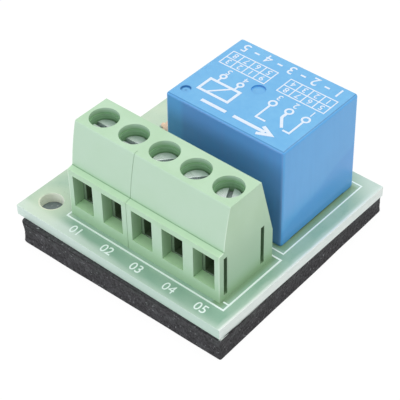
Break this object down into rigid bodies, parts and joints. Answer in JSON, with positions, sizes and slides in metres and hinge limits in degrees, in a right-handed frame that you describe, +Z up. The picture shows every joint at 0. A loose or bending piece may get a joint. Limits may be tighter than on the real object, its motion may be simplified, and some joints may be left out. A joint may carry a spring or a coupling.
{
  "type": "relay module board",
  "caption": "Small relay module: circuit board on a foam pad, a row of green screw terminals with wire windows in front and a sealed blue cube relay behind.",
  "frame": {"origin": "centre of the board's outline, on the flat underside of the foam pad", "axes": "+Z up out of the board; +X along the row of terminals, from the mounting holes' edge; +Y from the wire windows towards the relay"},
  "size_m": [0.0353, 0.0352, 0.0206],
  "materials": {
    "foam": "closed-cell foam, cut edges",
    "adhesive": "thin whitish double-sided film",
    "laminate": "pale green translucent laminate with white print",
    "solder": "bright tin solder",
    "housing_plastic": "moulded pale green plastic",
    "zinc_screw": "bright zinc plate",
    "clamp_steel": "nickel plate",
    "tinned_brass": "tinned brass",
    "relay_plastic": "moulded blue plastic with white print",
    "relay_base_plastic": "dark moulded plastic",
    "relay_iron": "nickel-plated soft iron",
    "bobbin_plastic": "natural moulded plastic",
    "copper_winding": "enamelled copper wire",
    "contact_bronze": "bare bronze strip",
    "resistor_coat": "tan lacquer with colour bands",
    "diode_body": "black moulding with a silver band",
    "tinned_wire": "tinned copper wire",
    "lamp_resin": "red diffusing resin"
  },
  "bodies": {
    "module": {"foam_pad": "foam", "adhesive_film": "adhesive", "circuit_board": "laminate", "solder_joints": "solder", "terminal_housing_two_pole": "housing_plastic", "terminal_housing_three_pole": "housing_plastic", "relay_case": "relay_plastic", "relay_base": "relay_base_plastic", "relay_yoke": "relay_iron", "coil_core": "relay_iron", "coil_bobbin": "bobbin_plastic", "coil_winding": "copper_winding", "coil_pin_front": "tinned_brass", "coil_pin_back": "tinned_brass", "return_spring": "contact_bronze", "normally_open_contact": "contact_bronze", "normally_closed_contact": "contact_bronze", "resistor_body": "resistor_coat", "resistor_leads": "tinned_wire", "diode_body": "diode_body", "diode_leads": "tinned_wire", "lamp_lens": "lamp_resin", "lamp_lead_frame": "tinned_wire", "terminal_pin_1": "tinned_brass", "terminal_pin_2": "tinned_brass", "terminal_pin_3": "tinned_brass", "terminal_pin_4": "tinned_brass", "terminal_pin_5": "tinned_brass"},
    "screw_1": {"clamp_screw_1": "zinc_screw"},
    "cage_1": {"clamp_cage_1": "clamp_steel"},
    "screw_2": {"clamp_screw_2": "zinc_screw"},
    "cage_2": {"clamp_cage_2": "clamp_steel"},
    "screw_3": {"clamp_screw_3": "zinc_screw"},
    "cage_3": {"clamp_cage_3": "clamp_steel"},
    "screw_4": {"clamp_screw_4": "zinc_screw"},
    "cage_4": {"clamp_cage_4": "clamp_steel"},
    "screw_5": {"clamp_screw_5": "zinc_screw"},
    "cage_5": {"clamp_cage_5": "clamp_steel"},
    "armature": {"relay_armature": "relay_iron", "contact_spring": "contact_bronze"}
  },
  "joints": [
    {"name": "screw_turn_1", "type": "hinge", "parent": "module", "child": "screw_1", "pos_m": [-0.00818, -0.00867, 0.0166], "axis": [0, 0, -1], "range_deg": [0, 1980]},
    {"name": "cage_lift_1", "type": "slide", "parent": "module", "child": "cage_1", "axis": [0, 0, 1], "range_m": [0, 0.00247]},
    {"name": "screw_turn_2", "type": "hinge", "parent": "module", "child": "screw_2", "pos_m": [-0.0031, -0.00867, 0.0166], "axis": [0, 0, -1], "range_deg": [0, 1980]},
    {"name": "cage_lift_2", "type": "slide", "parent": "module", "child": "cage_2", "axis": [0, 0, 1], "range_m": [0, 0.00247]},
    {"name": "screw_turn_3", "type": "hinge", "parent": "module", "child": "screw_3", "pos_m": [0.00198, -0.00867, 0.0166], "axis": [0, 0, -1], "range_deg": [0, 1980]},
    {"name": "cage_lift_3", "type": "slide", "parent": "module", "child": "cage_3", "axis": [0, 0, 1], "range_m": [0, 0.00247]},
    {"name": "screw_turn_4", "type": "hinge", "parent": "module", "child": "screw_4", "pos_m": [0.00706, -0.00867, 0.0166], "axis": [0, 0, -1], "range_deg": [0, 1980]},
    {"name": "cage_lift_4", "type": "slide", "parent": "module", "child": "cage_4", "axis": [0, 0, 1], "range_m": [0, 0.00247]},
    {"name": "screw_turn_5", "type": "hinge", "parent": "module", "child": "screw_5", "pos_m": [0.01214, -0.00867, 0.0166], "axis": [0, 0, -1], "range_deg": [0, 1980]},
    {"name": "cage_lift_5", "type": "slide", "parent": "module", "child": "cage_5", "axis": [0, 0, 1], "range_m": [0, 0.00247]},
    {"name": "armature_swing", "type": "hinge", "parent": "module", "child": "armature", "pos_m": [-0.00324, 0.00679, 0.01604], "axis": [0, 1, 0], "range_deg": [0, 3], "stiffness_Nm_per_rad": 0.005, "springref_deg": -11.46}
  ],
  "couplings": [
    {"joint": "screw_turn_1", "follows": "cage_lift_1", "rad_per_m": 13963},
    {"joint": "screw_turn_2", "follows": "cage_lift_2", "rad_per_m": 13963},
    {"joint": "screw_turn_3", "follows": "cage_lift_3", "rad_per_m": 13963},
    {"joint": "screw_turn_4", "follows": "cage_lift_4", "rad_per_m": 13963},
    {"joint": "screw_turn_5", "follows": "cage_lift_5", "rad_per_m": 13963}
  ]
}
